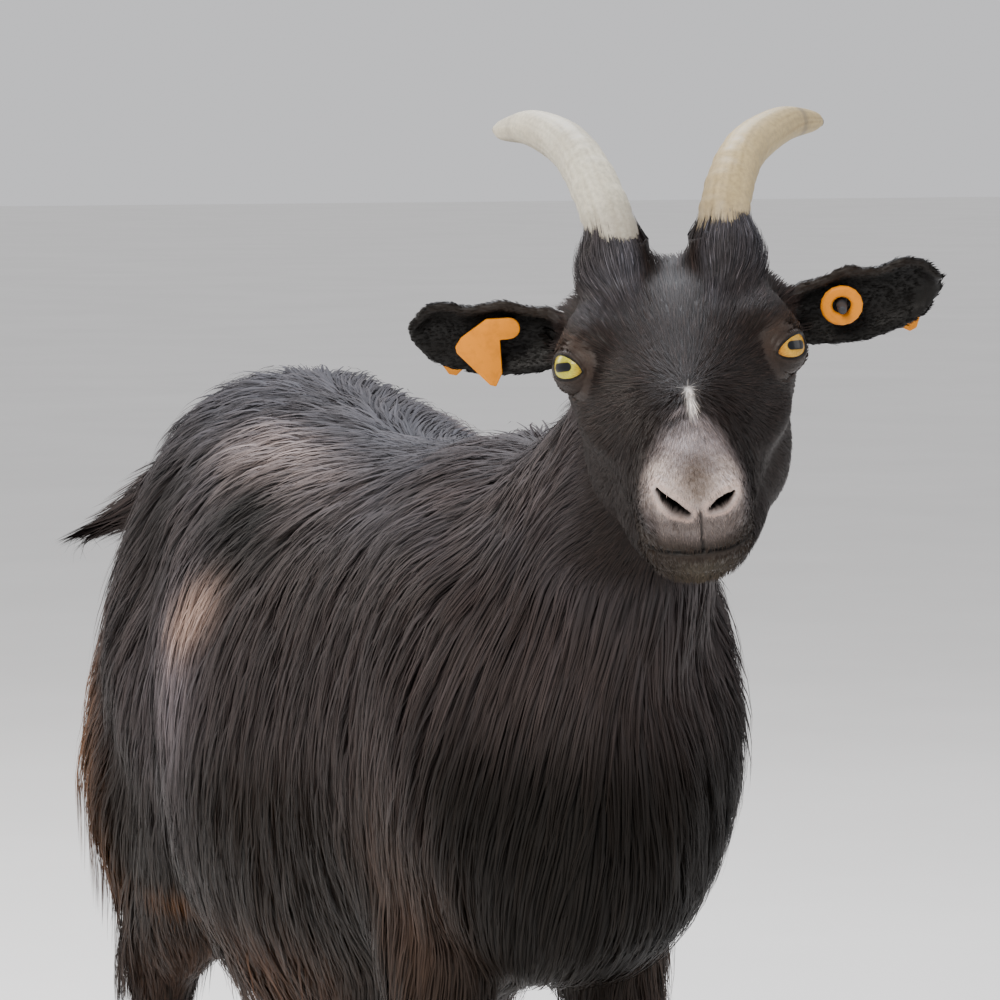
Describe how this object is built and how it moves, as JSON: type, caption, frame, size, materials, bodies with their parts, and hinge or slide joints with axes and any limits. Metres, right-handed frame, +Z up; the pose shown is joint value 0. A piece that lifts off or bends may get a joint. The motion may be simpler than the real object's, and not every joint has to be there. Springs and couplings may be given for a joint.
{
  "type": "domestic goat, still life-size model",
  "caption": "Standing horned goat with a long dark coat, its head turned to its right, with plastic ear tags.",
  "frame": {"origin": "middle of the bounding box's bottom face, on the floor", "axes": "+Z up, the body faces -Y, +X is the goat's own left"},
  "size_m": [0.285, 1.031, 0.8204],
  "materials": {
    "coat": "long straight black hair, brown where the sun has bleached it",
    "horn": "dry grey-beige keratin with fine lengthwise grain",
    "eye": "wet, pale gold iris with a level bar pupil",
    "hoof": "dark worn keratin",
    "tag": "soft orange moulded plastic",
    "pin": "dark moulded plastic"
  },
  "bodies": {
    "root": {"claw_foreleg_left_inner": "hoof", "claw_foreleg_left_outer": "hoof", "claw_foreleg_right_inner": "hoof", "claw_foreleg_right_outer": "hoof", "claw_hindleg_left_inner": "hoof", "claw_hindleg_left_outer": "hoof", "claw_hindleg_right_inner": "hoof", "claw_hindleg_right_outer": "hoof", "dewclaw_foreleg_left_inner": "hoof", "dewclaw_foreleg_left_outer": "hoof", "dewclaw_foreleg_right_inner": "hoof", "dewclaw_foreleg_right_outer": "hoof", "dewclaw_hindleg_left_inner": "hoof", "dewclaw_hindleg_left_outer": "hoof", "dewclaw_hindleg_right_inner": "hoof", "dewclaw_hindleg_right_outer": "hoof", "ear_left": "coat", "ear_right": "coat", "eye_left": "eye", "eye_right": "eye", "foreleg_left": "coat", "foreleg_right": "coat", "head": "coat", "hindleg_left": "coat", "hindleg_right": "coat", "horn_left": "horn", "horn_right": "horn", "neck": "coat", "tag_left_back": "tag", "tag_left_button": "tag", "tag_left_stud": "pin", "tag_right_back": "tag", "tag_right_flag": "tag", "tag_right_pin": "pin", "tail": "coat", "trunk": "coat"}
  },
  "joints": []
}
